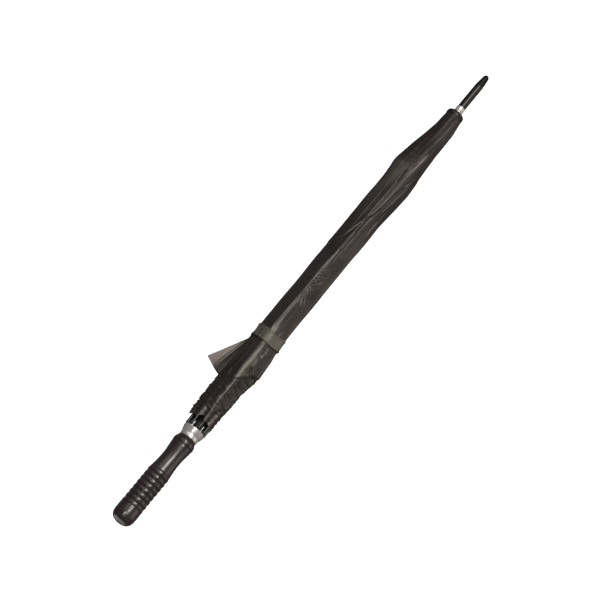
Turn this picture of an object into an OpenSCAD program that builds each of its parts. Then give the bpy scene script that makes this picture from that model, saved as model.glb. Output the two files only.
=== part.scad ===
// Golf umbrella, closed, lying with its shaft along +X from the handle to the ferrule.
// The origin is on the shaft's axis, in the middle of the plain land at the grip's end.
// Around the shaft, angles run from +Y (0 degrees) towards +Z (90 degrees).

/* [Handle] */
// Radius of the grip on the crests of its rings
grip_r = 19.3; // [18.5:0.1:20]
// Number of turned rings
ring_count = 8; // [6:1:8]
// Spacing of the rings along the grip
ring_pitch = 9.4; // [8.6:0.1:9.4]
// Depth of the grooves between the rings
groove_depth = 1.8; // [0.4:0.1:2]
// Radius at the narrowest place of the neck
neck_r = 16.3; // [14:0.1:17.5]
// Place along the shaft where the handle ends
handle_top = 152; // [150:0.5:152]

/* [Shaft] */
// Radius of the shaft tube
shaft_r = 6; // [5.8:0.1:6]
// Wall of the shaft tube
shaft_wall = 1; // [0.6:0.1:1]
// Place along the shaft where the ferrule's nose ends
tip_x = 962; // [955:1:980]
// Radius of the ferrule
ferrule_r = 7; // [6.8:0.05:7.2]

/* [Frame] */
// Place along the shaft of the ribs' pivots in the crown
crown_x = 858; // [856:0.5:858]
// Distance from the shaft's axis to the pivots
pivot_r = 10; // [9.9:0.1:10.1]
// Distance along a rib from the crown's pivot to the stretcher's pivot
link_len = 322; // [320:1:323]
// Distance from the shaft's axis to a stored rib
rib_orbit = 17.6; // [17.4:0.1:17.7]
// Radius of a rib's rod
rib_r = 1.8; // [1.6:0.1:1.8]
// Radius of a stretcher's rod
stretcher_r = 1.5; // [1.2:0.1:1.5]
// Place along the shaft where the rib tips end
rib_end_x = 170.6; // [170.6:0.1:174]
// Travel of the runner when the umbrella opens
runner_travel = 380; // [378:1:382]

/* [Canopy] */
// Thickness of a stored panel, with its folds
panel_t = 3.4; // [2.4:0.1:3.6]
// Gap between neighbouring panels
panel_gap = 0.7; // [0.6:0.1:1.2]
// How far the loose corner of the outer panel stands out from the axis
flap_reach = 58; // [45:1:60]

/* [Tie strap] */
// Place along the shaft of the strap's middle
strap_x = 362; // [358:1:370]
// Width of the strap
strap_w = 22; // [18:1:28]
// Thickness of the strap
strap_t = 1.2; // [0.8:0.1:1.4]

/* [Hidden] */
ribs = 8;
rib_step = 360 / ribs;
half_step = rib_step / 2;
fit = 0.05; // clearance of a part on the shaft
ear_slot = 3; // width of a slot in the crown
runner_slot = 3.6; // width of a slot in the runner
blade_t = 2.4; // thickness of the flat end of a rib or stretcher
land_half = 6; // half the length of the plain land at the grip's end
dome_len = 18; // length of the domed end
bore_x = 50; // place along the shaft where the handle's bore ends
shaft_low = bore_x + 2;
rings_end = land_half + ring_count * ring_pitch;
bead_x = handle_top - 16;
bead_r = grip_r - 0.7;
runner_pivot_x = crown_x - 2 * link_len;
joint_x = crown_x - link_len;
runner_low = runner_pivot_x - 38;
runner_top = runner_pivot_x + 8;
bundle_low = 186;
cap_x = crown_x + 7;
collar_x = cap_x + 11.5;
ferrule_x = collar_x + 11.5;
pin_x = collar_x + 7.5;
pin_angle = 105;
shaft_top = ferrule_x + 36;
strap_inner = 23.2; // distance from the axis to the band's flats
strap_outer = strap_inner + strap_t;
rib_room = 18.9; // distance from the axis to the panels that clears the ribs and their clips
// Outer radius of the stored canopy along the shaft, at the panels' corners
bundle_outline = [
    [bundle_low, 22.6], [200, 23.8], [226, 25.6], [300, 26], [345, 24.6], [380, 24.4], [640, 24.4],
    [680, 26], [743, 26], [779, 22.8], [811, 19.6], [845, 16.6], [864.5, 14.3]];
shell = [0.09, 0.08, 0.08];
steel = [0.75, 0.75, 0.77];
chrome = [0.92, 0.9, 0.88];
cloth = [0.16, 0.145, 0.135];
$fn = 48;

function rib_angle(i) = half_step + rib_step * (i - 1);
function numbered(name) = [for (i = [1:ribs]) str(name, "_", i)];
function lerp_at(table, x, i = 0) =
    x <= table[i + 1][0] || i >= len(table) - 2
        ? table[i][1] + (table[i + 1][1] - table[i][1]) * (x - table[i][0]) / (table[i + 1][0] - table[i][0])
        : lerp_at(table, x, i + 1);

// Turns a body of revolution, drawn along +Z, to lie along the shaft.
module along_shaft(x = 0) {
    translate([x, 0, 0]) rotate([0, 90, 0]) children();
}

// Places what is drawn with +Z pointing outwards at an angle around the shaft.
module around(angle) {
    rotate([angle - 90, 0, 0]) children();
}

module tube(x0, x1, outer, inner) {
    along_shaft(x0) difference() {
        cylinder(r = outer, h = x1 - x0);
        translate([0, 0, -1]) cylinder(r = inner, h = x1 - x0 + 2);
    }
}

module rod(x0, x1, height, radius) {
    translate([x0, 0, height]) rotate([0, 90, 0]) cylinder(r = radius, h = x1 - x0, $fn = 24);
}

module cross_pin(x, height, radius, length) {
    translate([x, 0, height]) rotate([90, 0, 0]) cylinder(r = radius, h = length, center = true, $fn = 24);
}

// The end of a flat link: an eye at the origin and a blade that runs from it along X.
module flat_end(x, height, eye_r, thickness, reach, half_height) {
    translate([x, 0, height]) {
        rotate([90, 0, 0]) cylinder(r = eye_r, h = thickness, center = true, $fn = 24);
        translate([min(0, reach), -thickness / 2, -half_height])
            cube([abs(reach), thickness, 2 * half_height]);
    }
}

// Handle: one turned piece, with a domed end, a plain land, rings, a waist and a bead.
function dome_points() = [
    for (a = [0:10:80]) [grip_r * pow(sin(a), 0.65), -land_half - dome_len * pow(cos(a), 0.8)]];
function ring_points() = [
    for (k = [0:ring_count - 1], u = [0, 0.07, 0.18, 0.34, 0.5, 0.66, 0.82, 0.93])
        [grip_r - groove_depth * pow(abs(2 * u - 1), 3), land_half + 0.01 + (k + u) * ring_pitch]];
function waist_points() = [
    for (u = [0.06:0.0675:0.96])
        [neck_r + (bead_r - neck_r) * pow(abs(2 * u - 1), 1.8),
         rings_end + u * (bead_x - rings_end)]];
function bead_points() = [
    [bead_r - 0.3, bead_x], [bead_r - 1.1, bead_x + 0.8], [bead_r - 0.3, bead_x + 1.6],
    [bead_r + 0.3, bead_x + 3.4], [bead_r + 0.4, bead_x + 6], [bead_r, bead_x + 8.5],
    [bead_r - 1, bead_x + 11], [bead_r - 2, bead_x + 13], [bead_r - 2.6, bead_x + 14.8],
    [bead_r - 3.2, handle_top]];

module handle() {
    color(shell) along_shaft() rotate_extrude($fn = 64) difference() {
        polygon(concat([[0, -land_half - dome_len]], dome_points(),
            [[grip_r, -land_half], [grip_r, land_half]],
            ring_points(), [[grip_r - 0.9, rings_end]], waist_points(), bead_points(),
            [[0, handle_top]]));
        translate([-1, bore_x]) square([shaft_r + fit + 1, handle_top]);
    }
}

// Chrome cup with a flared mouth that the rib tips stand over.
module tip_cup() {
    color(chrome) along_shaft(handle_top) rotate_extrude($fn = 64) polygon([
        [shaft_r + fit, 0], [15.2, 0], [15.8, 0.6], [16, 3], [16, 6.4], [16.5, 7.8], [17.4, 10],
        [18.5, 14], [19.1, 16.4], [19.2, 17.2], [18.8, 17.9], [18, 18], [17.2, 16.8], [16, 13],
        [shaft_r + fit, 13]]);
}

// Steel tube with a window for each catch.
module shaft() {
    color(steel) difference() {
        tube(shaft_low, shaft_top, shaft_r, shaft_r - shaft_wall);
        around(90) translate([runner_top, -1.6, 0]) cube([38, 3.2, shaft_r + 1]);
        around(90) translate([runner_low + runner_travel - 38, -1.6, 0]) cube([38, 3.2, shaft_r + 1]);
        around(90) cross_pin(runner_top + runner_travel + 2, 0, 1.02, 3 * shaft_r);
        around(pin_angle) translate([pin_x, 0, 0]) cylinder(r = 1.05, h = shaft_r + 1, $fn = 24);
    }
}

// Spike of the umbrella: a sleeve over the shaft's end with a round nose.
module ferrule() {
    nose = 25;
    color(shell) along_shaft() rotate_extrude($fn = 48) polygon(concat(
        [[shaft_r + fit, ferrule_x], [ferrule_r - 0.4, ferrule_x], [ferrule_r, ferrule_x + 1.6],
         [ferrule_r, tip_x - nose],
         [ferrule_r - 0.7, tip_x - nose + 8], [ferrule_r - 1.7, tip_x - 7]],
        [for (a = [15:15:90]) [(ferrule_r - 1.7) * cos(a), tip_x - 7 + 7 * sin(a)]],
        [[0, shaft_top + 1], [shaft_r + fit, shaft_top + 1]]));
}

module ferrule_collar() {
    color(chrome) difference() {
        along_shaft(collar_x) rotate_extrude($fn = 48) polygon([
            [shaft_r + fit, 0], [8.6, 0], [8.6, 1.4], [7.8, 2.6], [7.5, 4.5],
            [7.4, 10.8], [7.1, 11.5], [shaft_r + fit, 11.5]]);
        around(pin_angle) translate([pin_x, 0, 0]) cylinder(r = 1.1, h = 9, $fn = 24);
    }
}

module ferrule_pin() {
    head_z = 7.6;
    color(chrome) around(pin_angle) translate([pin_x, 0, 0]) {
        translate([0, 0, shaft_r - 1.4]) cylinder(r = 1, h = head_z - shaft_r + 1.4, $fn = 24);
        translate([0, 0, head_z]) cylinder(r = 1.6, h = 0.6, $fn = 24);
    }
}

// Disc that clamps the canopy's middle, with a low cone up to the collar.
module open_cap() {
    color(shell) along_shaft(cap_x) rotate_extrude($fn = 64) polygon([
        [shaft_r + fit, 0], [14.4, 0], [15.1, 1.2], [15.4, 3], [15.4, 5.6], [15, 7.4], [14, 8.8],
        [12, 10], [9.6, 11], [9, 11.5], [shaft_r + fit, 11.5]]);
}

// Crown: a collar with a slot for each rib and a ring groove for the wire.
module crown() {
    color(shell) difference() {
        union() {
            tube(crown_x - 14, cap_x, 8, shaft_r + fit);
            tube(crown_x - 5, cap_x, 12.2, shaft_r + fit);
        }
        for (i = [1:ribs]) around(rib_angle(i))
            translate([crown_x - 6, -ear_slot / 2, 8.05]) cube([10, ear_slot, 6]);
        tube(crown_x - 6, crown_x + 0.7, pivot_r + 0.7, pivot_r - 0.7);
    }
}

module crown_wire() {
    color(steel) along_shaft(crown_x) rotate_extrude($fn = 64)
        translate([pivot_r, 0]) circle(r = 0.6, $fn = 20);
}

// Runner: a sleeve that slides on the shaft, with a slotted flange for the stretchers.
module runner() {
    color(shell) difference() {
        union() {
            tube(runner_low, runner_top, 7.8, shaft_r + fit);
            tube(runner_low, runner_low + 4, 8.1, shaft_r + fit);
            tube(runner_pivot_x - 6, runner_top, 12.4, shaft_r + fit);
        }
        for (i = [1:ribs]) around(rib_angle(i))
            translate([runner_pivot_x - 7, -runner_slot / 2, 8.2]) cube([16, runner_slot, 6]);
    }
}

// Catch: a leaf inside the shaft whose nose stands out through a window.
module catch(nose_x, pivot_x) {
    toward = pivot_x > nose_x ? 1 : -1;
    leaf_t = 1.2;
    leaf_z = 3.5;
    color(steel) around(90) {
        translate([min(nose_x, pivot_x), -1.2, leaf_z]) cube([abs(pivot_x - nose_x), 2.4, leaf_t]);
        translate([pivot_x, 0, leaf_z + leaf_t / 2]) rotate([90, 0, 0])
            cylinder(r = leaf_t / 2, h = 2.4, center = true, $fn = 24);
        translate([nose_x, 1.2, 0]) rotate([90, 0, 0]) linear_extrude(2.4)
            polygon([[0, 4.7], [0, 7.9], [toward * 1.5, 7.9], [toward * 9, 4.7]]);
    }
}

module bottom_catch() {
    catch(runner_top + 1, runner_top + 32);
}

module top_catch() {
    catch(runner_low + runner_travel - 1, runner_low + runner_travel - 32);
}

module stop_pin() {
    color(steel) around(90) cross_pin(runner_top + runner_travel + 2, 0, 1, 16.2);
}

// Rib: a flat end with an eye in the crown, a sloping rod and a long straight rod.
module rib(i) {
    slope_len = 80;
    slope_x = crown_x - slope_len;
    slope = atan2(rib_orbit - pivot_r, slope_len);
    color(shell) around(rib_angle(i)) difference() {
        union() {
            translate([crown_x, 0, pivot_r]) rotate([0, slope, 0])
                flat_end(0, 0, 1.7, blade_t, -11, 1.2);
            translate([crown_x, 0, pivot_r]) rotate([0, -90 + slope, 0])
                translate([0, 0, 8.5]) cylinder(r = rib_r, h = slope_len / cos(slope) - 8.5, $fn = 24);
            translate([slope_x, 0, rib_orbit]) sphere(r = rib_r, $fn = 24);
            rod(rib_end_x + 5, slope_x, rib_orbit, rib_r);
        }
        cross_pin(crown_x, pivot_r, 0.85, 6);
    }
}

// Clip on a rib with two ears, and the rivet that the stretcher turns on.
module rib_joint(i) {
    color(shell) around(rib_angle(i)) difference() {
        union() {
            rod(joint_x - 8, joint_x + 8, rib_orbit, 2.4);
            for (side = [-1, 1]) translate([joint_x, side * 1.65, 0]) {
                translate([-2.4, -0.5, pivot_r]) cube([4.8, 1, rib_orbit - pivot_r]);
                translate([0, 0, pivot_r]) rotate([90, 0, 0])
                    cylinder(r = 2.4, h = 1, center = true, $fn = 24);
            }
        }
        rod(joint_x - 9, joint_x + 9, rib_orbit, rib_r + 0.02);
        cross_pin(joint_x, pivot_r, 0.82, 6);
    }
    color(steel) around(rib_angle(i)) {
        cross_pin(joint_x, pivot_r, 0.8, 4.8);
        for (side = [-1, 1]) translate([0, side * 2.375, 0]) cross_pin(joint_x, pivot_r, 1.3, 0.35);
    }
}

module rib_tip(i) {
    tip_r = 2.4;
    color(shell) around(rib_angle(i)) difference() {
        union() {
            translate([rib_end_x + tip_r, 0, rib_orbit]) sphere(r = tip_r, $fn = 24);
            rod(rib_end_x + tip_r, bundle_low + 6, rib_orbit, tip_r);
        }
        rod(rib_end_x + 4.5, bundle_low + 7, rib_orbit, rib_r + 0.02);
    }
}

// Stretcher: a rod with a flat eye on the rib's rivet and a flat end in the runner's slot.
module stretcher(i) {
    color(steel) around(rib_angle(i)) difference() {
        union() {
            flat_end(joint_x, pivot_r, 1.9, 2.1, -8, 1.3);
            rod(runner_pivot_x + 6, joint_x - 6, pivot_r, stretcher_r);
            flat_end(runner_pivot_x, pivot_r, 1.6, blade_t, 8, 1.3);
        }
        cross_pin(joint_x, pivot_r, 0.85, 6);
        cross_pin(runner_pivot_x, pivot_r, 0.8, 6);
    }
}

function panel_ring(x) = let(
    outer = lerp_at(bundle_outline, x) * cos(half_step),
    inner = max(12.5, outer - min(panel_t, max(0.9, outer - rib_room))),
    slack = panel_gap / 2 / cos(half_step),
    side = tan(half_step))
    [[x, slack - inner * side, inner], [x, inner * side - slack, inner],
     [x, outer * side - slack, outer], [x, slack - outer * side, outer]];

// Stored canopy panel between two ribs: a strip with mitred sides and a shaped outline.
module panel_strip() {
    rings = [for (s = bundle_outline) panel_ring(s[0])];
    last = len(rings) - 1;
    polyhedron(
        points = [for (ring = rings, p = ring) p],
        faces = concat(
            [[0, 1, 2, 3], [for (k = [3:-1:0]) 4 * last + k]],
            [for (s = [0:last - 1], k = [0:3])
                [4 * s + (k + 1) % 4, 4 * s + k, 4 * s + 4 + k, 4 * s + 4 + (k + 1) % 4]]));
}

// Loose corner of the outer panel, which stands out from the bundle like a leaf.
module flap() {
    rotate([14, 0, 0]) translate([0, 0, 1]) linear_extrude(1.2)
        polygon([[279, flap_reach], [346, 21.5], [266, 21.5]]);
}

module gore(i) {
    color(cloth) union() {
        around(rib_step * i) panel_strip();
        if (i == ribs) flap();
    }
}

// Octagonal band around the stored canopy.
module strap_band() {
    color(cloth) rotate([half_step, 0, 0]) along_shaft(strap_x - strap_w / 2) difference() {
        cylinder(r = strap_outer / cos(half_step), h = strap_w, $fn = ribs);
        translate([0, 0, -1]) cylinder(r = strap_inner / cos(half_step), h = strap_w + 2, $fn = ribs);
    }
}

// Hook-and-loop pad on the band, under the strap's loose end.
module strap_pad() {
    color(shell) around(rib_step) translate([strap_x - strap_w / 2 + 3, -6, strap_outer])
        cube([strap_w - 6, 12, 0.5]);
}

module strap_tab() {
    color(cloth) around(rib_step) translate([strap_x - strap_w / 2, -9.6, strap_outer + 0.6])
        cube([strap_w, 19.2, strap_t]);
}

shaft();
handle();
tip_cup();
ferrule();
ferrule_collar();
ferrule_pin();
open_cap();
crown();
crown_wire();
runner();
bottom_catch();
top_catch();
stop_pin();
for (i = [1:ribs]) {
    rib(i);
    rib_joint(i);
    rib_tip(i);
    stretcher(i);
    gore(i);
}
strap_band();
strap_pad();
strap_tab();
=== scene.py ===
import math

import bpy
import numpy as np
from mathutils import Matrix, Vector


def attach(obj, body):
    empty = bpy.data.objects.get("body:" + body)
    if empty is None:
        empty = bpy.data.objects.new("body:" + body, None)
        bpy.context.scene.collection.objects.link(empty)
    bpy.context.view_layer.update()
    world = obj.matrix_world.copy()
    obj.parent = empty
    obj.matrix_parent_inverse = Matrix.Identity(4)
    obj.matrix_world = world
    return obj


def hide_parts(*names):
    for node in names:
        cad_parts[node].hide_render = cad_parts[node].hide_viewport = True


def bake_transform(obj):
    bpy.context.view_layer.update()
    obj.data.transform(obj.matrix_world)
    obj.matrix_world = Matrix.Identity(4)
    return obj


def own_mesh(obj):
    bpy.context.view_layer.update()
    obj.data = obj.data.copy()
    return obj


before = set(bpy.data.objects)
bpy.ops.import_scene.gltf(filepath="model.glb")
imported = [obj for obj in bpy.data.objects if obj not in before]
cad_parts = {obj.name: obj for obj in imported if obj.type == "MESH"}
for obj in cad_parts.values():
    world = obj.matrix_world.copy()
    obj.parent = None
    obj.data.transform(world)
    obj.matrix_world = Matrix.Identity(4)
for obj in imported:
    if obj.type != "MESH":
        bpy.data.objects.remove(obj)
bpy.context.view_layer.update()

# Lengths in this script are millimetres along the shaft (x), millimetres from its axis (r), and degrees
# around it. An azimuth runs from +Y (0) towards +Z (90). A turn is an azimuth counted from the side
# that faces the camera, positive to the right. MM turns a length into Blender's metres.
MM = 0.001
RIBS = 8
RIB_STEP = 360 / RIBS

# ---------------------------------------------------------------- camera, floor and light

VIEW_AZIMUTH = -53.2
VIEW_ELEVATION = 64.66
VIEW_DISTANCE = 6.861
VIEW_AIM = Vector((0.4524, 0.003, 0.0003))
VIEW_LENS = 257.5
FLOOR_Z = -0.75


def direction(azimuth, elevation):
    """Unit vector from the object towards a viewer at this azimuth and elevation, in degrees."""
    a, e = math.radians(azimuth), math.radians(elevation)
    return Vector((math.sin(a) * math.cos(e), -math.cos(a) * math.cos(e), math.sin(e)))


TOWARDS_CAMERA = direction(VIEW_AZIMUTH, VIEW_ELEVATION)
FACING = math.degrees(math.atan2(TOWARDS_CAMERA.z, TOWARDS_CAMERA.y))


def make_camera():
    camera = bpy.data.objects.new("camera", bpy.data.cameras.new("camera"))
    bpy.context.scene.collection.objects.link(camera)
    camera.data.lens = VIEW_LENS
    camera.data.clip_end = 100
    camera.location = VIEW_AIM + TOWARDS_CAMERA * VIEW_DISTANCE
    camera.rotation_euler = (-TOWARDS_CAMERA).to_track_quat("-Z", "Y").to_euler()
    bpy.context.scene.camera = camera


def area_light(name, place, aim, width, height, watts, colour=(1, 1, 1)):
    lamp = bpy.data.lights.new(name, "AREA")
    lamp.shape = "RECTANGLE"
    lamp.size = width
    lamp.size_y = height
    lamp.energy = watts
    lamp.color = colour
    holder = bpy.data.objects.new(name, lamp)
    holder.location = place
    holder.rotation_euler = (Vector(place) - Vector(aim)).to_track_quat("Z", "Y").to_euler()
    bpy.context.scene.collection.objects.link(holder)


def around_shaft(turn, lean):
    """Unit vector square to the shaft at a turn from the camera's side, leaning towards the ferrule."""
    a, b = math.radians(FACING + turn), math.radians(lean)
    return Vector((math.sin(b), math.cos(a) * math.cos(b), math.sin(a) * math.cos(b)))


def softbox(name, aim, turn, lean, distance, width, height, radiance, colour=(1, 1, 1)):
    """Lamp of a given brightness, so many degrees around the shaft and leaning along it."""
    watts = radiance * math.pi * width * height
    area_light(name, aim + around_shaft(turn, lean) * distance, aim, width, height, watts, colour)


def make_lights():
    cup = Vector((0.16, 0, 0))
    softbox("key", VIEW_AIM, 6, 20, 4.5, 2.4, 1.6, 7.5, (1, 0.96, 0.92))
    softbox("spot", VIEW_AIM, -9, -10, 4.5, 0.3, 0.3, 80)
    softbox("right_box", VIEW_AIM, 74, 16, 3.2, 2.2, 2.2, 0.8, (1, 0.94, 0.9))
    softbox("left_box", VIEW_AIM + Vector((0.28, 0, 0)), -34, 14, 3.2, 1.3, 1.2, 1.4, (1, 0.93, 0.88))
    softbox("cup_card", cup, 0, -4, 1.5, 2.4, 0.7, 1.0)
    area_light("end_card", (-1.4, 0.6, -1.1), (0, 0, 0), 1.8, 1.8, 9)


def make_world():
    """Dim studio above, paler below the horizon."""
    world = bpy.data.worlds.new("studio")
    bpy.context.scene.world = world
    world.use_nodes = True
    nodes, links = world.node_tree.nodes, world.node_tree.links
    nodes.clear()
    place = nodes.new("ShaderNodeTexCoord")
    split = nodes.new("ShaderNodeSeparateXYZ")
    ramp = nodes.new("ShaderNodeValToRGB")
    light = nodes.new("ShaderNodeBackground")
    out = nodes.new("ShaderNodeOutputWorld")
    links.new(place.outputs["Generated"], split.inputs[0])
    height = nodes.new("ShaderNodeMapRange")
    height.inputs["From Min"].default_value = -1
    links.new(split.outputs["Z"], height.inputs["Value"])
    links.new(height.outputs[0], ramp.inputs["Fac"])
    links.new(ramp.outputs["Color"], light.inputs["Color"])
    links.new(light.outputs[0], out.inputs["Surface"])
    ramp.color_ramp.elements[0].position = 0.36
    ramp.color_ramp.elements[0].color = (0.11, 0.11, 0.11, 1)
    ramp.color_ramp.elements[1].position = 0.62
    ramp.color_ramp.elements[1].color = (0.05, 0.05, 0.052, 1)
    light.inputs["Strength"].default_value = 1.0


def paper(name, points, faces):
    """Part of the set: plain pale paper that the camera sees and that throws no light on the object."""
    mesh = bpy.data.meshes.new(name)
    mesh.from_pydata(points, [], faces)
    piece = bpy.data.objects.new(name, mesh)
    bpy.context.scene.collection.objects.link(piece)
    material = bpy.data.materials.new(name)
    material.use_nodes = True
    shader = material.node_tree.nodes["Principled BSDF"]
    shader.inputs["Base Color"].default_value = (0.85, 0.85, 0.85, 1)
    shader.inputs["Roughness"].default_value = 0.9
    shader.inputs["Emission Color"].default_value = (1, 1, 1, 1)
    shader.inputs["Emission Strength"].default_value = 0.95
    mesh.materials.append(material)
    piece.visible_diffuse = False
    piece.visible_glossy = False
    piece.visible_shadow = False


def make_set():
    """Pale floor and a round pale wall behind everything."""
    sides, radius, wall_top = 48, 14.0, 16.0
    turns = [k * math.tau / sides for k in range(sides)]
    rim = [(radius * math.cos(a), radius * math.sin(a)) for a in turns]
    paper("floor", [(x, y, FLOOR_Z) for x, y in rim], [tuple(range(sides))])
    wall = [(x, y, z) for z in (FLOOR_Z, wall_top) for x, y in rim]
    following = [(k + 1) % sides for k in range(sides)]
    paper("backdrop", wall, [(k, j, sides + j, sides + k) for k, j in enumerate(following)])


# ---------------------------------------------------------------- materials


class Recipe:
    """A material under construction: short helpers around its node tree."""

    def __init__(self, name):
        self.material = bpy.data.materials.new(name)
        self.material.use_nodes = True
        self.nodes = self.material.node_tree.nodes
        self.links = self.material.node_tree.links
        self.shader = self.nodes["Principled BSDF"]

    def set(self, **values):
        for key, value in values.items():
            self.shader.inputs[key.replace("_", " ")].default_value = value

    def link(self, a, b):
        self.links.new(a, b)

    def coordinates(self, kind="Object", scale=(1, 1, 1)):
        source = self.nodes.new("ShaderNodeTexCoord")
        mapping = self.nodes.new("ShaderNodeMapping")
        mapping.inputs["Scale"].default_value = scale
        self.link(source.outputs[kind], mapping.inputs["Vector"])
        return mapping.outputs[0]

    def noise(self, where, scale, detail=3.0, distortion=0.0):
        node = self.nodes.new("ShaderNodeTexNoise")
        node.inputs["Scale"].default_value = scale
        node.inputs["Detail"].default_value = detail
        node.inputs["Distortion"].default_value = distortion
        self.link(where, node.inputs["Vector"])
        return node.outputs["Fac"]

    def wave(self, where, scale, axis):
        node = self.nodes.new("ShaderNodeTexWave")
        node.bands_direction = axis
        node.inputs["Scale"].default_value = scale
        self.link(where, node.inputs["Vector"])
        return node.outputs["Fac"]

    def ramp(self, value, low, high, start=0.35, end=0.65):
        node = self.nodes.new("ShaderNodeValToRGB")
        node.color_ramp.elements[0].position = start
        node.color_ramp.elements[0].color = (*low, 1)
        node.color_ramp.elements[1].position = end
        node.color_ramp.elements[1].color = (*high, 1)
        self.link(value, node.inputs["Fac"])
        return node.outputs["Color"]

    def math(self, kind, a, b):
        node = self.nodes.new("ShaderNodeMath")
        node.operation = kind
        for value, socket in zip((a, b), node.inputs):
            if isinstance(value, (int, float)):
                socket.default_value = value
            else:
                self.link(value, socket)
        return node.outputs[0]

    def spread(self, value, low, high):
        """Maps a 0 to 1 value onto low to high."""
        node = self.nodes.new("ShaderNodeMapRange")
        node.inputs["To Min"].default_value = low
        node.inputs["To Max"].default_value = high
        self.link(value, node.inputs["Value"])
        return node.outputs[0]

    def bump(self, height, strength, distance):
        node = self.nodes.new("ShaderNodeBump")
        node.inputs["Strength"].default_value = strength
        node.inputs["Distance"].default_value = distance
        self.link(height, node.inputs["Height"])
        self.link(node.outputs[0], self.shader.inputs["Normal"])


WARM_SHINE = (1, 0.9, 0.83, 1)  # colour of the cloth's reflections


def woven(name, dark, light, threads_per_m, roughness, sheen):
    """Thin woven polyester: fine threads both ways, soft sheen and slight cloudiness."""
    r = Recipe(name)
    cloth = r.coordinates("UV")
    body = r.coordinates("Object")
    warp = r.wave(cloth, threads_per_m * math.tau / 20, "X")
    weft = r.wave(cloth, threads_per_m * math.tau / 20, "Y")
    weave = r.math("MULTIPLY", warp, weft)
    cloud = r.noise(body, 26, 4)
    fine = r.noise(body, 900, 2)
    mixed = r.math("ADD", r.math("MULTIPLY", cloud, 0.8), r.math("MULTIPLY", fine, 0.2))
    r.link(r.ramp(mixed, dark, light), r.shader.inputs["Base Color"])
    r.link(r.spread(cloud, roughness - 0.05, roughness + 0.06), r.shader.inputs["Roughness"])
    r.set(Specular_IOR_Level=0.9, Specular_Tint=WARM_SHINE, Sheen_Weight=sheen, Sheen_Roughness=0.45)
    r.bump(r.math("ADD", weave, r.math("MULTIPLY", fine, 0.5)), 0.25, 0.00012)
    return r.material


def lacquered(name, dark, light, roughness, coat, grain=0.25):
    """Dark lacquer or moulded gloss: faint streaks along the shaft under a clear coat."""
    r = Recipe(name)
    streaks = r.noise(r.coordinates("Object", (4, 90, 90)), 3, 5, 0.4)
    specks = r.noise(r.coordinates("Object"), 420, 3)
    r.link(r.ramp(streaks, dark, light), r.shader.inputs["Base Color"])
    r.link(r.spread(specks, roughness - 0.03, roughness + 0.05), r.shader.inputs["Roughness"])
    r.set(Coat_Weight=coat, Coat_Roughness=0.12, Specular_IOR_Level=0.5)
    relief = r.math("ADD", r.math("MULTIPLY", streaks, grain), r.math("MULTIPLY", specks, 0.15))
    r.bump(relief, 0.12, 0.0002)
    return r.material


def metal(name, dark, light, roughness, stretch, metallic=1.0):
    """Bright metal with faint drawn or turned marks."""
    r = Recipe(name)
    marks = r.noise(r.coordinates("Object", stretch), 30, 4)
    r.link(r.ramp(marks, dark, light), r.shader.inputs["Base Color"])
    r.link(r.spread(marks, max(0.03, roughness - 0.06), roughness + 0.08), r.shader.inputs["Roughness"])
    r.set(Metallic=metallic)
    r.bump(marks, 0.08, 0.0001)
    return r.material


# Per material: darkest and lightest colour, then what its recipe asks for.
MATERIALS = {
    "canopy_fabric": woven(
        "canopy_fabric", (0.021, 0.0168, 0.0146), (0.036, 0.029, 0.0255), 2600, 0.36, 0.0),
    "strap_fabric": woven(
        "strap_fabric", (0.098, 0.09, 0.068), (0.145, 0.134, 0.103), 2000, 0.5, 0.0),
    "handle_gloss": lacquered(
        "handle_gloss", (0.028, 0.019, 0.02), (0.055, 0.038, 0.039), 0.3, 0.55),
    "black_gloss": lacquered(
        "black_gloss", (0.008, 0.007, 0.006), (0.016, 0.014, 0.012), 0.24, 0.2, 0.1),
    "black_plastic": lacquered(
        "black_plastic", (0.014, 0.011, 0.013), (0.026, 0.020, 0.023), 0.42, 0.0, 0.2),
    "bright_chrome": metal(
        "bright_chrome", (0.8, 0.77, 0.71), (0.9, 0.87, 0.81), 0.28, (3, 60, 60), 0.6),
    "steel": metal("steel", (0.5, 0.5, 0.51), (0.66, 0.66, 0.68), 0.28, (2, 80, 80)),
    "hook_and_loop": woven("hook_and_loop", (0.008, 0.008, 0.008), (0.02, 0.02, 0.02), 900, 0.8, 0.3),
}

# ---------------------------------------------------------------- the stored canopy's shape

LOW_X = 184.0
TOP_X = 864.6
GRID_STEP = 0.75
GRID_TURN = 0.5
grid_x = np.arange(LOW_X - 12, TOP_X + 4, GRID_STEP)
grid_turn = np.arange(-180, 180, GRID_TURN)
X, TURN = np.meshgrid(grid_x, grid_turn, indexing="ij")
NOMINAL_R = 25.0  # radius that turns are measured at when a width across the cloth is in millimetres


def smooth(t):
    t = np.clip(t, 0, 1)
    return t * t * (3 - 2 * t)


def track(points, at):
    """Value at each place along the shaft, on straight lines between (x, value) points."""
    return np.interp(at, [p[0] for p in points], [p[1] for p in points])


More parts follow.
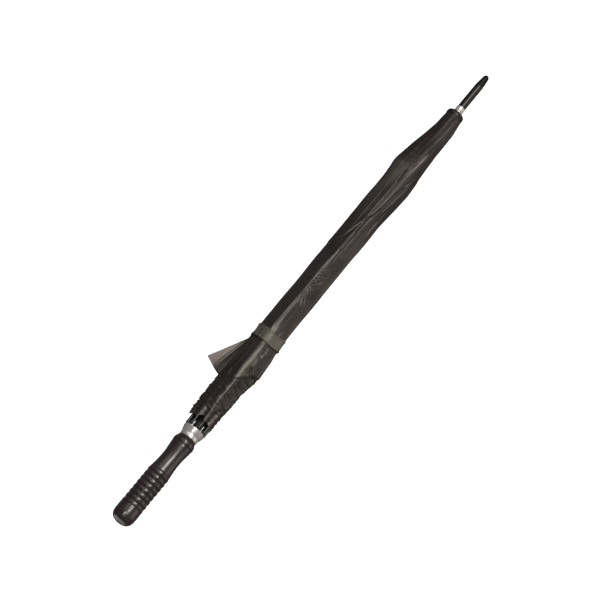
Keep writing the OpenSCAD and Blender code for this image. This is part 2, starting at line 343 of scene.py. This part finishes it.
# Cross-section of the wrapped bundle: a polygon with rounded corners. Each corner is a fold that runs
# along the shaft, given by the turn where it lies and its radius, both against x.
LEFT_OUTLINE = [
    (186, 25.0), (196, 27.0), (221, 29.0), (262, 29.3), (300, 29.3), (340, 28.8), (361, 28.2),
    (390, 28.3), (489, 28.3), (560, 28.2), (600, 29.0), (637, 29.0), (707, 29.2), (742, 31.4),
    (786, 25.0), (812, 19.8), (839, 16.3), (865, 14.8)]
RIGHT_OUTLINE = [
    (186, 21.4), (203, 21.6), (225, 22.4), (262, 22.8), (280, 25.4), (290, 27.6), (335, 25.6),
    (361, 22.6), (390, 21.4), (489, 20.8), (637, 21.0), (676, 23.8), (707, 24.6), (742, 21.6),
    (786, 19.0), (812, 19.0), (839, 18.2), (852, 16.4), (865, 14.6)]
FRONT_RADIUS = [
    (186, 22.2), (203, 23.4), (225, 24.6), (262, 25.2), (300, 27.4), (345, 26.8), (375, 25.6),
    (540, 25.4), (620, 24.2), (680, 23.8), (742, 24.8), (781, 22.6), (812, 19.2), (848, 16.0),
    (865, 14.4)]
FRONT_TURN = [
    (186, -14), (215, -15), (262, -12), (300, -17), (345, -17), (365, -21), (383, -26), (525, -24),
    (560, -17), (600, -8), (640, 3), (726, 5), (770, 9), (800, 11), (865, 6)]
STRIP_WIDTH = [
    (186, 7), (262, 6), (300, 6.5), (345, 6.5), (525, 6.5), (560, 5), (600, 3), (726, 3), (765, 6),
    (800, 5), (865, 5)]  # level strip to the right of that fold, in mm
LEFT_TURN = [
    (186, -84), (300, -86), (375, -98), (545, -98), (600, -80), (742, -66), (800, -76), (865, -88)]
RIGHT_TURN = [
    (186, 75), (300, 62), (540, 62), (600, 74), (650, 92), (745, 90), (800, 75), (865, 80)]
BACK_TURNS = (140, -150)
FLATNESS = [
    (186, 0.55), (262, 0.75), (310, 0.85), (560, 0.9), (700, 0.85), (800, 0.6), (865, 0.2)]


def chord(turn, a, ra, b, rb):
    """Radius of the straight line between two corners (turn a, radius ra) and (turn b, radius rb)."""
    t, a, b = np.radians(turn), np.radians(a), np.radians(b)
    return ra * rb * np.sin(b - a) / (ra * np.sin(t - a) + rb * np.sin(b - t))


def section():
    """Radius of the wrapped bundle at every grid point, before its folds and wrinkles."""
    left, right = track(LEFT_OUTLINE, grid_x), track(RIGHT_OUTLINE, grid_x)
    left_turn, right_turn = track(LEFT_TURN, grid_x), track(RIGHT_TURN, grid_x)
    back = (left + right) / 2
    front_turn, front = np.radians(track(FRONT_TURN, grid_x)), track(FRONT_RADIUS, grid_x)
    side = front * np.sin(front_turn) + track(STRIP_WIDTH, grid_x)
    height = front * np.cos(front_turn)
    corners = [
        (np.full_like(grid_x, BACK_TURNS[1]), back),
        (left_turn, left / np.abs(np.sin(np.radians(left_turn)))),
        (np.degrees(front_turn), front),
        (np.degrees(np.arctan2(side, height)), np.hypot(side, height)),
        (right_turn, right / np.abs(np.sin(np.radians(right_turn)))),
        (np.full_like(grid_x, BACK_TURNS[0]), back)]
    flat = track(FLATNESS, grid_x)[:, None]
    radius = np.zeros_like(X)
    for k, (a, ra) in enumerate(corners):
        b, rb = corners[(k + 1) % len(corners)]
        b = np.where(b < a, b + 360, b)
        a, ra, b, rb = (v[:, None] for v in (a, ra, b, rb))
        turn = np.where(TURN < a, TURN + 360, TURN)
        inside = turn <= b
        share = np.clip((turn - a) / (b - a), 0, 1)
        arc = ra + (rb - ra) * smooth(share)
        straight = chord(np.clip(turn, a, b), a, ra, b, rb)
        radius = np.where(inside, arc + (straight - arc) * flat, radius)
    return rounded(radius, 3.6)


def rounded(values, spread_deg):
    """Rounds every fold's crest by a gaussian around the shaft."""
    reach = np.minimum(np.arange(len(grid_turn)), len(grid_turn) - np.arange(len(grid_turn))) * GRID_TURN
    kernel = np.exp(-0.5 * (reach / spread_deg) ** 2)
    kernel /= kernel.sum()
    return np.real(np.fft.ifft(np.fft.fft(values, axis=1) * np.fft.fft(kernel), axis=1))


def fold_turn():
    """Turn about the wrapped bundle's own middle, which lies to the left of the shaft."""
    shift = ((track(LEFT_OUTLINE, grid_x) - track(RIGHT_OUTLINE, grid_x)) / 2)[:, None]
    turn = np.radians(TURN)
    return np.degrees(np.arctan2(NOMINAL_R * np.sin(turn) + shift, NOMINAL_R * np.cos(turn)))


FOLD_TURN = fold_turn()


def across(points):
    """Distance across the cloth from a line of (x, turn) points, positive to the right, in mm."""
    line = track(points, grid_x)
    slope = np.radians(np.gradient(line, GRID_STEP)) * NOMINAL_R
    return np.radians(FOLD_TURN - line[:, None]) * NOMINAL_R / np.sqrt(1 + slope[:, None] ** 2)


def along(points, fade):
    """1 along the line's length and 0 beyond its ends."""
    return smooth((X - points[0][0]) / fade) * smooth((points[-1][0] - X) / fade)


def crease(points, depth, width, fade=10):
    return -depth * np.exp(-((across(points) / width) ** 2)) * along(points, fade)


def crest(points, height, width, fade=10):
    """Fold with a sharp top and sides that fall away evenly."""
    away = np.abs(across(points))
    return height * np.exp(-np.sqrt(away ** 2 + 0.3) / width) * along(points, fade)


def layer(points, height, reach, side, fade=10):
    """Edge of an upper layer: a step on one side of the line, which sinks back over its reach."""
    beyond = across(points) * side
    sinking = np.exp(-np.maximum(beyond, 0) / reach)
    return height * smooth(beyond / 1.0 + 0.5) * sinking * along(points, fade)


def patch(x, turn, half_length, half_width):
    """1 in the middle of a soft patch of cloth and 0 outside."""
    u, v = (X - x) / half_length, (FOLD_TURN - turn) / half_width
    return np.exp(-(u ** 4 + v ** 4))


def ripples(seed, pitch, lean, count=3):
    """Uneven ripples along the shaft's length, with a slight lean, from -1 to 1."""
    rng = np.random.default_rng(seed)
    total = np.zeros_like(X)
    for _ in range(count):
        wave = math.tau / (pitch * rng.uniform(0.8, 1.3))
        turns = rng.integers(-lean, lean + 1)
        total += np.sin(wave * X + turns * np.radians(TURN) + rng.uniform(0, math.tau))
    return total / count


def cloudy(seed, count=10):
    """Slow unevenness of the whole bundle, from about -1 to 1."""
    rng = np.random.default_rng(seed)
    total = np.zeros_like(X)
    for _ in range(count):
        wave = math.tau / rng.uniform(45, 160)
        turns = rng.integers(1, 6) * rng.choice([-1, 1])
        total += np.sin(wave * X + turns * np.radians(TURN) + rng.uniform(0, math.tau))
    return total / math.sqrt(count)


# Lower edge of the outer wrap, which ends above the rib tips.
OUTER_HEM = [
    (-180, 262), (-100, 268), (-60, 267), (-30, 270), (0, 274), (30, 288), (55, 298), (90, 300),
    (130, 288), (180, 262)]


def outer_wrap():
    edge = np.interp(TURN, [p[0] for p in OUTER_HEM], [p[1] for p in OUTER_HEM])
    above = X - edge
    lift = 1.5 * smooth(above / 1.4 + 0.5) - 0.7
    hem_fold = 0.35 * np.exp(-((above - 4.5) / 3.6) ** 4)
    stitch = -0.3 * np.exp(-((above - 8.6) / 0.7) ** 2)
    drop = np.exp(-np.maximum(above, 0) / 60)
    return (lift * np.where(above > 0, drop, 1) + (hem_fold + stitch) * 0.8) * smooth((X - LOW_X) / 30)


def inner_skirt():
    """Finely crumpled cloth between the rib tips and the outer wrap's hem."""
    edge = np.interp(TURN, [p[0] for p in OUTER_HEM], [p[1] for p in OUTER_HEM])
    here = smooth((edge - X) / 4) * smooth((X - LOW_X - 4) / 14)
    stripe = np.exp(-((TURN + 3) / 7) ** 2)
    crumple = ripples(11, 4.4, 3, 7) * (1.1 + 0.8 * cloudy(13)) + ripples(12, 9, 6, 5) * 0.9
    crumple += ripples(14, 18, 9, 5) * 0.7
    over_ribs = np.cos(np.radians((TURN + FACING - RIB_STEP / 2) * RIBS))  # 1 at a rib, -1 between two
    valleys = 1.7 * (over_ribs - 1) * smooth((232 - X) / 38)
    return here * (crumple * (1 - 0.85 * stripe) + 0.7 * stripe) + valleys


def fan(x, turn, count, reach, height, start, end):
    """Wrinkles that radiate from a pinched point, between two angles from the ferrule's direction."""
    u = X - x
    v = np.radians(FOLD_TURN - turn) * NOMINAL_R
    far = np.hypot(u, v)
    angle = np.degrees(np.arctan2(v, u))
    inside = smooth((angle - start) / 12) * smooth((end - angle) / 12)
    ring = smooth((far - 3) / 5) * smooth((reach - far) / 12)
    return height * np.cos(np.radians(angle * count)) * inside * ring


def slanted(x, turn, half_length, half_width, pitch, slope):
    """A patch of even wrinkles that run at 45 degrees to the shaft, one way or the other."""
    u, v = X - x, np.radians(FOLD_TURN - turn) * NOMINAL_R
    waves = np.sin(math.tau * (u + slope * v) / (math.sqrt(2) * pitch))
    return waves * patch(x, turn, half_length, half_width)


def folds():
    """Every fold, layer edge and wrinkle of the wrap, added to the section's radius."""
    total = outer_wrap() + inner_skirt()
    # Crest and pocket between the hem and the strap.
    total += crease([(284, 72), (291, 52), (297, 28), (306, 12)], 3.4, 2.4, 6)
    total += layer([(276, 84), (286, 66), (294, 30)], 0.9, 9, 1, 6)
    total += 1.2 * patch(318, 36, 20, 26)
    total += crease([(322, 12), (332, 19), (342, 25)], 1.2, 2.6, 6)
    total += ripples(41, 16, 6) * 0.5 * patch(325, 40, 24, 40)
    total += crease([(276, -70), (300, -62), (346, -58)], 1.5, 3.2)
    total += 1.3 * patch(281, -50, 6, 8)
    # Cloth pulled together by the strap.
    squeeze = np.exp(-((X - 362) / 15) ** 2)
    total -= 1.1 * squeeze
    beside_strap = np.exp(-((X - 379) / 9) ** 2) + np.exp(-((X - 345) / 8) ** 2)
    total += 0.45 * np.cos(np.radians(TURN * 13)) * beside_strap
    # Long ridge above the strap, with the black fold to its left.
    total += layer([(376, -12), (459, -6), (538, -4), (612, 0)], 0.8, 14, 1, 20)
    total += layer([(376, 25), (420, 30), (470, 48)], 0.5, 10, -1)
    # Pinched point with its fan of wrinkles.
    total += fan(467, -17, 24, 36, 0.8, 12, 168)
    total += slanted(474, 12, 20, 24, 5.2, 1) * 0.45
    total += slanted(500, 8, 15, 20, 4.8, -1) * 0.45
    total += ripples(21, 7, 9, 5) * 0.8 * patch(520, 34, 34, 24)
    # Dark slit that carries the ridge on, and the bright fold beside it.
    total += crease([(524, 3), (544, 0.5), (594, 1), (616, 1), (640, 2)], 2.4, 1.3, 8)
    total += crease([(548, -6), (580, -5), (612, -1)], 1.4, 1.1, 8)
    total += 1.7 * patch(582, 13, 34, 9)
    # Upper layer that crosses to the left.
    total += layer([(556, -90), (566, -64), (582, -33), (619, -6), (628, 0)], 1.3, 26, -1, 5)
    total += crease([(552, -84), (580, -36), (616, -8)], 0.5, 1.6, 6)
    # Straight ridge of the upper half and the lens of layers to its right.
    total += crest([(612, -9), (680, -10), (732, -9)], 0.9, 1.6)
    total += layer([(630, 8), (660, 20), (690, 31), (716, 46), (742, 64)], 1.5, 18, 1, 8)
    total += layer([(648, 30), (684, 42), (722, 60)], 1.1, 7, 1, 8)
    total += crease([(628, 6), (658, 17), (690, 28), (722, 44)], 2.0, 1.7, 8)
    total += crease([(646, 26), (684, 38), (722, 55)], 1.2, 1.1, 8)
    total += layer([(726, 8), (744, 13), (770, 19), (800, 23), (840, 26), (864, 26)], 2.4, 22, -1, 8)
    total += crease([(776, 21), (800, 25), (840, 28), (864, 28)], 2.4, 1.7, 10)
    total += 0.9 * patch(790, 8, 24, 9)
    total += crease([(706, -5), (720, -4.5), (735, -4)], 2.2, 1.2, 5)
    total += ripples(31, 11, 3) * 0.2 * patch(745, -30, 40, 50)
    # Pleats that gather under the cap.
    gather = smooth((X - 770) / 80)
    total += 0.5 * gather * np.cos(np.radians((TURN + FACING) * 8))
    total += crease([(826, -2), (842, -0.5), (865, 0)], 1.5, 1.2, 6)
    total += crease([(790, -34), (830, -26), (865, -22)], 0.5, 1.4, 8)
    total += crease([(800, 50), (830, 44), (865, 40)], 0.6, 1.4, 8)
    # The far side: the wrap's layers wind on at a slow spiral.
    for start_turn, height in ((110, 1.1), (150, 0.9), (-168, 1.2), (-128, 1.0)):
        spiral = [(300, start_turn - 14), (560, start_turn), (820, start_turn + 16)]
        total += layer(spiral, height, 12, 1, 30)
        total += crease([(x, turn - 3) for x, turn in spiral], 0.5, 1.3, 30)
    total += cloudy(5) * 0.4 * smooth((X - 290) / 30) * smooth((860 - X) / 60)
    return total


def rib_room():
    """Least radius that keeps the cloth outside the ribs; it may sink between them."""
    clear = np.interp(X, [186, 200, 778, 852, 870], [19.2, 19.7, 19.7, 13.4, 13.4])
    from_rib = np.abs((TURN + FACING) % RIB_STEP - RIB_STEP / 2)
    return clear - 3.6 * smooth((from_rib - 7) / 8) * smooth((845 - X) / 40)


def keep_out(radius, least):
    """Never below least, with a soft change."""
    over = radius - least
    return least + 0.5 * (over + np.sqrt(over ** 2 + 0.5))


RADIUS = keep_out(section() + folds(), rib_room())


def radius_at(x, azimuth):
    """Radius of the bundle's outer surface at places along and around the shaft."""
    turn = (np.asarray(azimuth) - FACING + 180) % 360 - 180
    row = np.clip((np.asarray(x) - grid_x[0]) / GRID_STEP, 0, len(grid_x) - 1.001)
    column = (turn + 180) / GRID_TURN
    i, j = row.astype(int), column.astype(int) % len(grid_turn)
    u, v = row - i, column - np.floor(column)
    k = (j + 1) % len(grid_turn)
    low = RADIUS[i, j] * (1 - v) + RADIUS[i, k] * v
    high = RADIUS[i + 1, j] * (1 - v) + RADIUS[i + 1, k] * v
    return low * (1 - u) + high * u


# ---------------------------------------------------------------- pieces


def new_piece(name, points_mm, faces, material, uv=None):
    mesh = bpy.data.meshes.new(name)
    mesh.from_pydata([tuple(float(c) * MM for c in p) for p in points_mm], [], faces)
    mesh.validate()
    if uv is not None:
        layer_uv = mesh.uv_layers.new(name="cloth")
        for loop in mesh.loops:
            layer_uv.data[loop.index].uv = uv[loop.vertex_index]
    mesh.polygons.foreach_set("use_smooth", [True] * len(mesh.polygons))
    mesh.materials.append(MATERIALS[material])
    piece = bpy.data.objects.new(name, mesh)
    bpy.context.scene.collection.objects.link(piece)
    return piece


def solidify(piece, thickness_mm, offset=-1):
    thick = piece.modifiers.new("thickness", "SOLIDIFY")
    thick.thickness = thickness_mm * MM
    thick.offset = offset
    thick.use_even_offset = False


def grid_faces(rows, columns):
    return [
        (r * columns + c, r * columns + c + 1, (r + 1) * columns + c + 1, (r + 1) * columns + c)
        for r in range(rows - 1) for c in range(columns - 1)]


BLEND_HALF = 4.9  # half the width, across a panel, over which it turns from one rib to the next
HEM_RISE = (5, 9, 4, 7, 5, 8, 6, 9)  # how far each panel's hem lies above the tips at its ends


def unsmooth(w):
    return 0.5 - math.sin(math.asin(1 - 2 * w) / 3)


def panel_columns(half_width):
    """Places across a panel, from -half_width to half_width, closer together where it folds."""
    inner = [BLEND_HALF * (0.5 * (2 * s - 1) + 0.5 * (2 * unsmooth(s) - 1)) for s in np.linspace(0, 1, 19)]
    outer = np.linspace(BLEND_HALF, half_width, 7)[1:]
    return np.array([-v for v in outer[::-1]] + inner + list(outer))


def panel_rows():
    fine, medium = np.arange(LOW_X, 345, 1.05), np.arange(445, 545, 1.0)
    return np.concatenate([fine, np.arange(345, 445, 1.9), medium, np.arange(545, TOP_X, 1.9), [TOP_X]])


def build_gore(i):
    """One panel of the canopy, stored: it lies between rib i and the next rib."""
    centre = RIB_STEP * i
    rows = panel_rows()
    points, uv = [], []
    for x in rows:
        mean = float(np.mean(radius_at(x, centre + np.linspace(-20, 20, 9))))
        edge = mean * math.sin(math.radians(RIB_STEP / 2))
        across_mm = panel_columns(max(edge, BLEND_HALF + 0.3))
        share = across_mm / across_mm[-1]
        azimuth = centre + np.degrees(np.arcsin(share * math.sin(math.radians(RIB_STEP / 2))))
        rise = HEM_RISE[i - 1] * (1 - share ** 2) * (1 - smooth((x - LOW_X) / 40))
        at = x + rise
        radius = radius_at(at, azimuth)
        for k in range(len(share)):
            a = math.radians(azimuth[k])
            points.append((at[k], radius[k] * math.cos(a), radius[k] * math.sin(a)))
            uv.append((math.radians(azimuth[k]) * NOMINAL_R * MM, at[k] * MM))
    columns = len(share)
    gore = new_piece(f"panel_cloth_{i}", points, grid_faces(len(rows), columns), "canopy_fabric", uv)
    solidify(gore, 0.4)
    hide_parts(f"gore_{i}")
    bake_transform(gore)


FLAP_LOW, FLAP_HIGH = 265.0, 355.0  # where the loose corner's root starts and ends along the shaft
FLAP_CORNER = (280.5, 60.0)  # its point: place along the shaft and distance from the axis
FLAP_TURN = -79.0
FLAP_BREAK = 0.2  # share of the root below the corner
FLAP_REACH = 34  # distance from the root to the corner, in mm


def build_flap():
    """Loose corner of the outer panel, standing out like a leaf, with its sewn hem."""
    steps = 40
    out_a = math.radians(FACING - 90)
    root_a = math.radians(FACING + FLAP_TURN)
    outward = Vector((0, math.cos(out_a), math.sin(out_a)))
    upward = Vector((0, -math.sin(out_a), math.cos(out_a)))
    tip = Vector((FLAP_CORNER[0], 0, 0)) + outward * FLAP_CORNER[1]

    def root_at(x):
        r = float(radius_at(x, FACING + FLAP_TURN)) - 0.8
        return Vector((x, r * math.cos(root_a), r * math.sin(root_a)))

    points, uv = [], []
    for v in np.linspace(0, 1, steps + 1):
        root = root_at(FLAP_LOW + (FLAP_HIGH - FLAP_LOW) * v)
        below = v < FLAP_BREAK
        reach = v / FLAP_BREAK if below else (1 - v) / (1 - FLAP_BREAK)
        end = root_at(FLAP_LOW if below else FLAP_HIGH).lerp(tip, reach)
        for u in np.linspace(0, 1, steps + 1):
            height = u * reach  # 0 at the root and 1 at the tip
            out_mm = height * FLAP_REACH
            fold_mm = 17 - 15 * v  # distance of the hem's fold from the root
            sag = -2.8 * float(smooth(out_mm / fold_mm)) + 0.12 * max(0, out_mm - fold_mm)
            hem = 0.5 * math.exp(-((out_mm - fold_mm) / 1.2) ** 2)
            points.append(root.lerp(end, u) + upward * (sag + hem + 0.25 * math.sin(6 * v + 5 * u) * u))
            uv.append((height * 0.035, v * 0.083))
    flap = new_piece("loose_corner", points, grid_faces(steps + 1, steps + 1), "canopy_fabric", uv)
    solidify(flap, 0.5, 0)
    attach(flap, "rib_1")
    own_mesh(flap)


STRAP_X, STRAP_HALF = 362.0, 11.0
STRAP_SAG = 5.5  # how far the strap's sides lie above its front


def strap_sheet(name, turns, lift, width_half, material="strap_fabric"):
    """Band of cloth that follows the bundle, between two turns, with stitched and turned edges."""
    across_steps = np.linspace(-1, 1, 19)
    points, uv = [], []
    for turn in turns:
        for s in across_steps:
            x = STRAP_X + s * width_half + STRAP_SAG * math.sin(math.radians(turn)) ** 2
            azimuth = FACING + turn
            near = [float(radius_at(x + d, azimuth + e)) for d in (-5, 0, 5) for e in (-5, 0, 5)]
            hem = 0.5 * (abs(s) > 0.7) - 0.4 * math.exp(-((abs(s) - 0.68) / 0.06) ** 2)
            surface = float(np.mean(near)) * 0.5 + max(near) * 0.5
            radius = surface + lift + hem + 0.35 * math.sin(turn / 7 + 2 * s)
            a = math.radians(azimuth)
            points.append((x, radius * math.cos(a), radius * math.sin(a)))
            uv.append((math.radians(turn) * NOMINAL_R * MM, (x - STRAP_X) * MM))
    return new_piece(name, points, grid_faces(len(turns), len(across_steps)), material, uv)


def build_strap():
    band = strap_sheet("tie_strap", np.linspace(-180, 180, 145), 0.9, STRAP_HALF)
    solidify(band, 0.9, 0)
    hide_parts("strap_band")
    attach(band, "rib_2")
    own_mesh(band)
    turns = np.linspace(22 - FACING, 66.5 - FACING, 25)
    tab = strap_sheet("tie_strap_end", turns, 2.1, STRAP_HALF)
    solidify(tab, 0.9, 0)
    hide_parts("strap_tab")
    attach(tab, "strap_end")


# ---------------------------------------------------------------- the CAD parts' finish

CAD_FINISH = {
    "handle_gloss": ["handle"],
    "bright_chrome": ["tip_cup", "ferrule_collar", "ferrule_pin"],
    "black_gloss": ["ferrule"] + [f"rib_tip_{i}" for i in range(1, RIBS + 1)],
    "black_plastic": ["open_cap", "crown", "runner"] + [f"rib_joint_{i}" for i in range(1, RIBS + 1)],
    "steel": ["shaft", "crown_wire", "bottom_catch", "top_catch", "stop_pin"],
    "hook_and_loop": ["strap_pad"],
}


def finish_cad():
    CAD_FINISH["black_gloss"] += [f"rib_{i}" for i in range(1, RIBS + 1)]
    CAD_FINISH["steel"] += [f"stretcher_{i}" for i in range(1, RIBS + 1)]
    for slot, names in CAD_FINISH.items():
        for name in names:
            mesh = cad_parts[name].data
            mesh.materials.clear()
            mesh.materials.append(MATERIALS[slot])
            mesh.polygons.foreach_set("material_index", [0] * len(mesh.polygons))


make_camera()
make_lights()
make_world()
make_set()
bpy.context.scene.view_settings.view_transform = "Standard"
finish_cad()
for number in range(1, RIBS + 1):
    build_gore(number)
build_flap()
build_strap()
